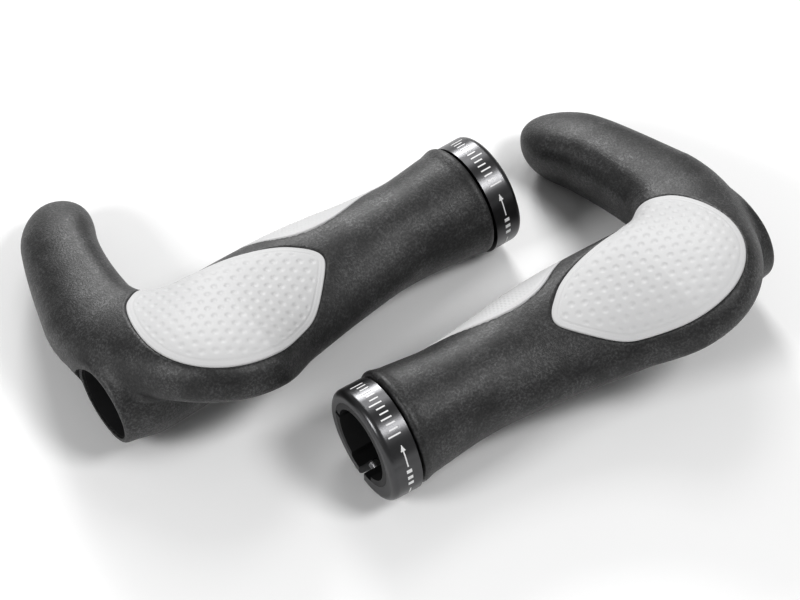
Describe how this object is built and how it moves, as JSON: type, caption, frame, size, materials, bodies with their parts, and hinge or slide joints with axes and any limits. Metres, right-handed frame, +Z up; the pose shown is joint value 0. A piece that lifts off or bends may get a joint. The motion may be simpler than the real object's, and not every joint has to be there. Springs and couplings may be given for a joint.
{
  "type": "bicycle grip pair with integrated bar ends",
  "caption": "Mirrored pair of ergonomic rubber handlebar grips with palm rest, curved bar end and a split metal clamp ring tightened by a screw.",
  "frame": {"origin": "middle of the pair's underside, on the surface that it lies on", "axes": "+X along the left grip's handlebar axis, from its outboard end to its inboard face; +Y the way the bar ends point; +Z up"},
  "size_m": [0.192, 0.1667, 0.0453],
  "materials": {
    "rubber": "semi-matte, fine grain",
    "pale_insert": "matte, soft, dimpled",
    "hard_plastic": "matte",
    "black_anodised": "satin black anodised",
    "white_print": "printed ink",
    "screw_steel": "plain steel"
  },
  "bodies": {
    "left_grip": {"left_bar_sleeve": "hard_plastic", "left_bar_end_core": "hard_plastic", "left_rubber_cover": "rubber", "left_palm_insert": "pale_insert", "left_finger_insert": "pale_insert"},
    "left_clamp": {"left_clamp_ring": "black_anodised", "left_ring_scale_marks": "white_print", "left_ring_arrow_mark": "white_print", "left_ring_dash_marks": "white_print"},
    "left_screw": {"left_clamp_screw": "screw_steel"},
    "right_grip": {"right_bar_sleeve": "hard_plastic", "right_bar_end_core": "hard_plastic", "right_rubber_cover": "rubber", "right_palm_insert": "pale_insert", "right_finger_insert": "pale_insert"},
    "right_clamp": {"right_clamp_ring": "black_anodised", "right_ring_scale_marks": "white_print", "right_ring_arrow_mark": "white_print", "right_ring_dash_marks": "white_print"},
    "right_screw": {"right_clamp_screw": "screw_steel"}
  },
  "joints": [
    {"name": "left_clamp_slide", "type": "slide", "parent": "left_grip", "child": "left_clamp", "axis": [1, 0, 0], "range_m": [0, 0.012]},
    {"name": "left_screw_turn", "type": "hinge", "parent": "left_clamp", "child": "left_screw", "pos_m": [0.03743, 0.00799, 0.0036], "axis": [0, 1, 0], "range_deg": [-1080, 0]},
    {"name": "pair_spacing", "type": "slide", "parent": "left_grip", "child": "right_grip", "axis": [1, 0, 0], "range_m": [0, 0.1]},
    {"name": "right_clamp_slide", "type": "slide", "parent": "right_grip", "child": "right_clamp", "axis": [-0.9987, 0.0506, 0], "range_m": [0, 0.012]},
    {"name": "right_screw_turn", "type": "hinge", "parent": "right_clamp", "child": "right_screw", "pos_m": [-0.03818, -0.04605, 0.0036], "axis": [0.0506, 0.9987, 0], "range_deg": [-1080, 0]}
  ]
}
